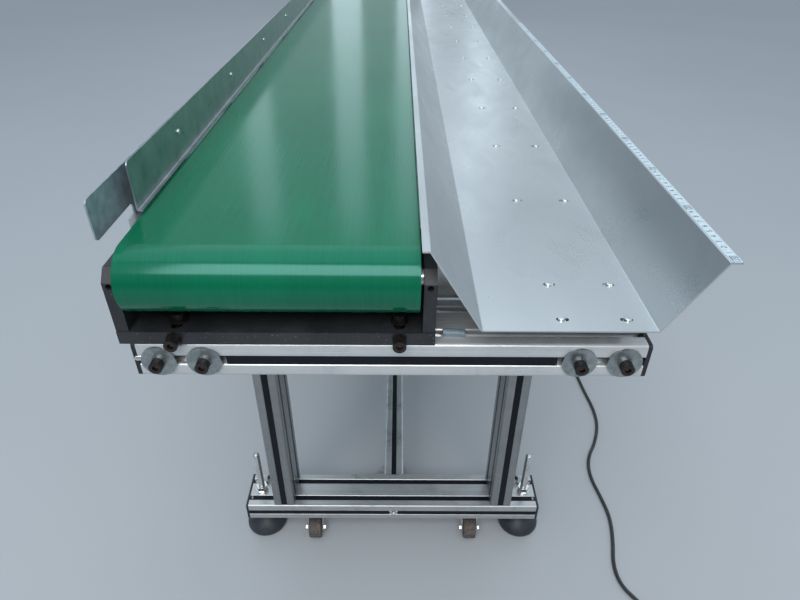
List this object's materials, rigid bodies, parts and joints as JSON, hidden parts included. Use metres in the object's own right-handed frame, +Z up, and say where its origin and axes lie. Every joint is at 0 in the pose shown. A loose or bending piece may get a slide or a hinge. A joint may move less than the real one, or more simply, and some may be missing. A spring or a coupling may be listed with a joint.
{
  "type": "belt conveyor section",
  "caption": "Flat belt conveyor on two T-slot profile stands with feet and casters, a side guard, a bent collecting tray and a worm gear drive.",
  "frame": {"origin": "on the floor, under the middle of the conveyor's box, mains cable left out", "axes": "+X across the conveyor towards the tray, +Y along it from the nose roller to the drive end, +Z up"},
  "size_m": [0.8622, 2.16, 0.886],
  "materials": {
    "anodised_aluminium": "satin anodised, fine drawn lines",
    "black_plastic": "matt moulded black",
    "black_screw": "black oxide steel",
    "zinc": "bright zinc plated steel",
    "dull_zinc": "dull zinc plated steel",
    "die_cast": "dark die-cast",
    "belt_green": "glossy green PVC",
    "black_anodised": "black anodised, fine machining marks",
    "roller_steel": "turned steel",
    "roller_rubber": "ground black lagging",
    "bronze": "plain bronze",
    "tray_sheet": "cold rolled stainless sheet, lightly smudged",
    "tape": "printed measuring tape",
    "galvanised": "dull galvanised sheet",
    "wheel_rubber": "grey brown rubber",
    "fork_zinc": "bright zinc pressed steel",
    "motor_paint": "grey blue machine paint",
    "gearbox_cast": "shot blasted die casting",
    "control_grey": "light grey housing",
    "cable_rubber": "dark grey cable sheath"
  },
  "bodies": {
    "frame": {"base_tie_beam": "anodised_aluminium", "beam_washers": "dull_zinc", "bed_rails": "galvanised", "belt": "belt_green", "cable_coil": "cable_rubber", "cable_gland": "black_plastic", "caster_plates": "dull_zinc", "control_box": "control_grey", "corner_brackets": "die_cast", "drive_bushes": "bronze", "drive_plate": "black_anodised", "end_caps": "black_plastic", "foot_nuts": "zinc", "frame_screws": "zinc", "front_base_beam": "anodised_aluminium", "front_cross_beam": "anodised_aluminium", "front_left_leg": "anodised_aluminium", "front_right_leg": "anodised_aluminium", "gearbox_housing": "gearbox_cast", "guard": "tray_sheet", "guard_brackets": "tray_sheet", "left_side_rail": "anodised_aluminium", "mains_cable": "cable_rubber", "mains_plug": "black_plastic", "motor": "motor_paint", "nose_plate": "black_anodised", "nose_shaft": "roller_steel", "rear_base_beam": "anodised_aluminium", "rear_cross_beam": "anodised_aluminium", "rear_left_leg": "anodised_aluminium", "rear_right_leg": "anodised_aluminium", "right_side_rail": "anodised_aluminium", "roller_brackets": "black_anodised", "sheet_screws": "zinc", "slider_bed": "galvanised", "slot_covers": "black_plastic", "socket_screws": "black_screw", "tray": "tray_sheet", "tray_cradles": "galvanised", "tray_rails": "galvanised", "tray_ruler": "tape"},
    "nose_roller": {"nose_roller": "roller_steel", "nose_bearings": "roller_steel"},
    "drive_roller": {"drive_roller": "roller_rubber", "drive_shaft": "roller_steel", "worm_wheel": "bronze"},
    "worm": {"worm_shaft": "roller_steel"},
    "speed_knob": {"speed_knob": "black_plastic"},
    "foot_front_left": {"foot_front_left": "black_plastic"},
    "caster_front_left": {"caster_fork_front_left": "fork_zinc"},
    "wheel_front_left": {"caster_wheel_front_left": "wheel_rubber"},
    "foot_front_right": {"foot_front_right": "black_plastic"},
    "caster_front_right": {"caster_fork_front_right": "fork_zinc"},
    "wheel_front_right": {"caster_wheel_front_right": "wheel_rubber"},
    "foot_rear_left": {"foot_rear_left": "black_plastic"},
    "caster_rear_left": {"caster_fork_rear_left": "fork_zinc"},
    "wheel_rear_left": {"caster_wheel_rear_left": "wheel_rubber"},
    "foot_rear_right": {"foot_rear_right": "black_plastic"},
    "caster_rear_right": {"caster_fork_rear_right": "fork_zinc"},
    "wheel_rear_right": {"caster_wheel_rear_right": "wheel_rubber"}
  },
  "joints": [
    {"name": "drive_roller_spin", "type": "hinge", "parent": "frame", "child": "drive_roller", "pos_m": [0.0278, 1.0417, 0.801], "axis": [1, 0, 0], "continuous": true},
    {"name": "nose_roller_spin", "type": "hinge", "parent": "frame", "child": "nose_roller", "pos_m": [0.0278, -1.0417, 0.801], "axis": [1, 0, 0], "continuous": true},
    {"name": "worm_spin", "type": "hinge", "parent": "frame", "child": "worm", "pos_m": [-0.2768, 1.0017, 0.801], "axis": [0, 0, 1], "continuous": true},
    {"name": "speed_knob_turn", "type": "hinge", "parent": "frame", "child": "speed_knob", "pos_m": [0.3108, -0.102, 0.7005], "axis": [1, 0, 0], "range_deg": [0, 270]},
    {"name": "levelling_front_left", "type": "slide", "parent": "frame", "child": "foot_front_left", "axis": [0, 0, 1], "range_m": [-0.05, 0.012]},
    {"name": "levelling_front_right", "type": "slide", "parent": "frame", "child": "foot_front_right", "axis": [0, 0, 1], "range_m": [-0.05, 0.012]},
    {"name": "levelling_rear_left", "type": "slide", "parent": "frame", "child": "foot_rear_left", "axis": [0, 0, 1], "range_m": [-0.05, 0.012]},
    {"name": "levelling_rear_right", "type": "slide", "parent": "frame", "child": "foot_rear_right", "axis": [0, 0, 1], "range_m": [-0.05, 0.012]},
    {"name": "swivel_front_left", "type": "hinge", "parent": "frame", "child": "caster_front_left", "pos_m": [-0.1322, -0.735, 0.052], "axis": [0, 0, 1], "continuous": true},
    {"name": "roll_front_left", "type": "hinge", "parent": "caster_front_left", "child": "wheel_front_left", "pos_m": [-0.1322, -0.759, 0.021], "axis": [1, 0, 0], "continuous": true},
    {"name": "swivel_front_right", "type": "hinge", "parent": "frame", "child": "caster_front_right", "pos_m": [0.1798, -0.735, 0.052], "axis": [0, 0, 1], "continuous": true},
    {"name": "roll_front_right", "type": "hinge", "parent": "caster_front_right", "child": "wheel_front_right", "pos_m": [0.1798, -0.759, 0.021], "axis": [1, 0, 0], "continuous": true},
    {"name": "swivel_rear_left", "type": "hinge", "parent": "frame", "child": "caster_rear_left", "pos_m": [-0.1322, 0.735, 0.052], "axis": [0, 0, 1], "continuous": true},
    {"name": "roll_rear_left", "type": "hinge", "parent": "caster_rear_left", "child": "wheel_rear_left", "pos_m": [-0.1322, 0.711, 0.021], "axis": [1, 0, 0], "continuous": true},
    {"name": "swivel_rear_right", "type": "hinge", "parent": "frame", "child": "caster_rear_right", "pos_m": [0.1798, 0.735, 0.052], "axis": [0, 0, 1], "continuous": true},
    {"name": "roll_rear_right", "type": "hinge", "parent": "caster_rear_right", "child": "wheel_rear_right", "pos_m": [0.1798, 0.711, 0.021], "axis": [1, 0, 0], "continuous": true}
  ],
  "couplings": [
    {"joint": "nose_roller_spin", "follows": "drive_roller_spin", "ratio": 1},
    {"joint": "worm_spin", "follows": "drive_roller_spin", "ratio": -30}
  ]
}
